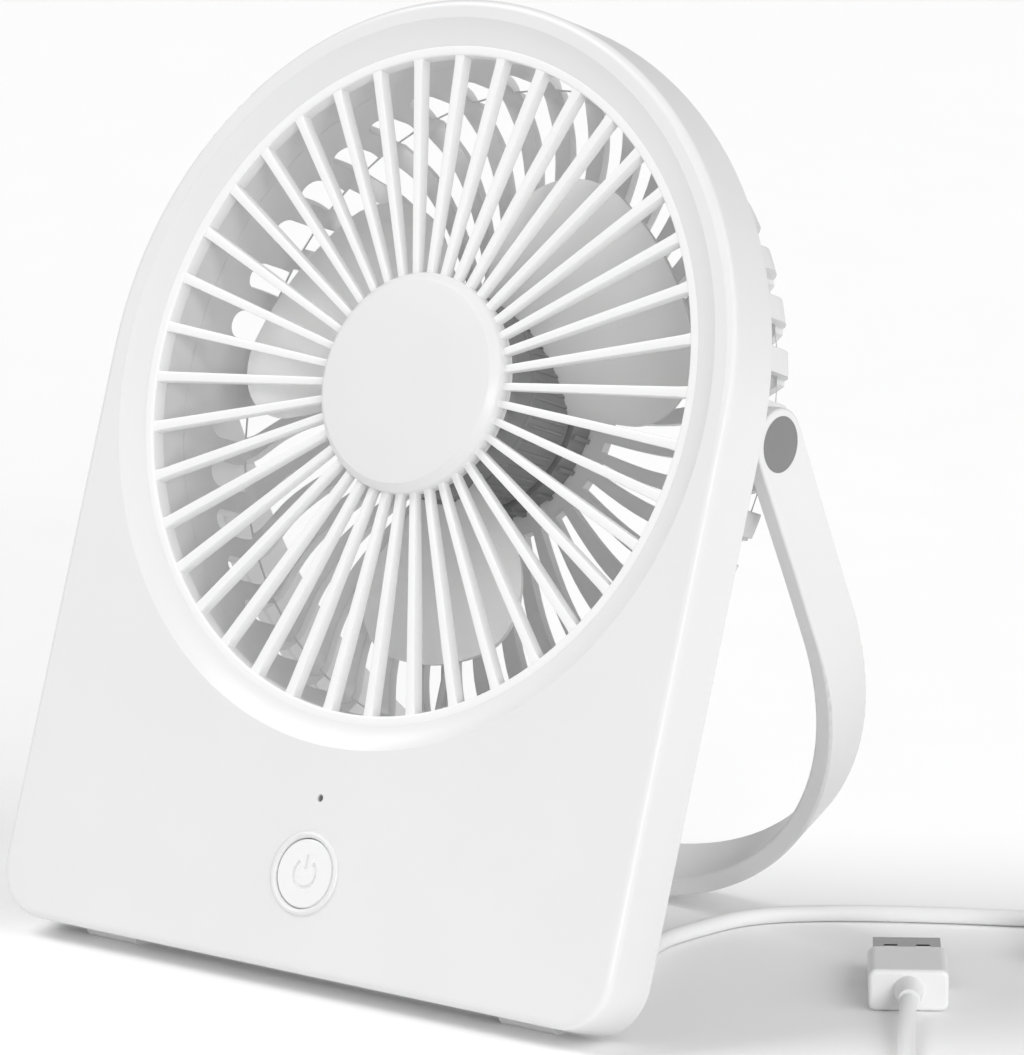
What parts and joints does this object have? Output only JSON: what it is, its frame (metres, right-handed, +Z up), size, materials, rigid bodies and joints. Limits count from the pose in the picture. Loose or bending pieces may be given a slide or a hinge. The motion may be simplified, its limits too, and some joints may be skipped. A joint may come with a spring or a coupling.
{
  "type": "desk fan",
  "caption": "Small leaning desk fan: arch-shaped casing with a round radial grille, a spinning impeller, a push button, a folding bail stand and a captive USB cord.",
  "frame": {"origin": "middle of the footprint of the fan on the surface it stands on, the cord left out", "axes": "+Z up, -Y is the front that the air leaves by, +X to the right seen from the front; the body leans back 18.84 degrees"},
  "size_m": [0.2174, 0.1388, 0.1699],
  "materials": {
    "white_plastic": "satin white ABS",
    "white_grille": "satin white ABS",
    "white_blade": "satin white PP",
    "white_button": "smooth white ABS",
    "grey_cap": "satin dark grey ABS",
    "grey_base": "satin mid grey ABS",
    "rubber_foot": "soft white silicone",
    "steel": "bright machined steel",
    "bearing_bronze": "sintered bronze",
    "brass": "turned brass",
    "lamination": "stacked steel laminations",
    "copper_winding": "enamelled copper wire",
    "magnet": "bonded ferrite",
    "green_board": "solder masked laminate",
    "black_component": "moulded black",
    "led_body": "moulded clear epoxy",
    "clear_pipe": "clear acrylic",
    "nylon": "natural nylon",
    "wire_white": "PVC sheath",
    "cord_white": "soft white TPE sheath",
    "plug_white": "moulded white TPE",
    "plug_metal": "nickel plated steel",
    "gold": "gold plated contact"
  },
  "bodies": {
    "housing": {"front_cover": "white_plastic", "feet": "rubber_foot", "front_grille": "white_grille", "hub_cap": "white_plastic", "rear_cover": "white_plastic", "cover_screws": "steel", "rear_guard": "white_plastic", "motor_base": "grey_base", "motor_screws": "steel", "bearing_tube": "brass", "bearings": "bearing_bronze", "stator_core": "lamination", "stator_coils": "copper_winding", "motor_board": "green_board", "tact_switch": "black_component", "main_board": "green_board", "indicator_led": "led_body", "light_pipe": "clear_pipe", "board_components": "black_component", "wire_sockets": "nylon", "motor_wires": "wire_white", "supply_wires": "wire_white", "cord_grommet": "cord_white", "pivot_pins": "steel", "pivot_washers": "nylon", "usb_cord": "cord_white", "cord_coil": "cord_white", "coil_tie": "black_component", "plug_relief": "plug_white", "plug_body": "plug_white", "plug_shell": "plug_metal", "plug_tongue": "plug_white", "plug_contacts": "gold"},
    "impeller": {"impeller": "white_blade", "rotor_bell": "steel", "rotor_magnet": "magnet", "motor_shaft": "steel", "shaft_clip": "nylon"},
    "stand": {"stand": "white_plastic", "pivot_caps": "grey_cap"},
    "power_button": {"power_button": "white_button"}
  },
  "joints": [
    {"name": "impeller_spin", "type": "hinge", "parent": "housing", "child": "impeller", "pos_m": [0, -0.018, 0.1045], "axis": [0, -0.9464, 0.3229], "continuous": true},
    {"name": "stand_fold", "type": "hinge", "parent": "housing", "child": "stand", "pos_m": [0, -0.0003, 0.09846], "axis": [1, 0, 0], "range_deg": [-44.76, 135.2]},
    {"name": "button_press", "type": "slide", "parent": "housing", "child": "power_button", "axis": [0, 0.9464, -0.3229], "range_m": [0, 0.0006], "stiffness_N_per_m": 400, "springref_m": -0.001}
  ]
}
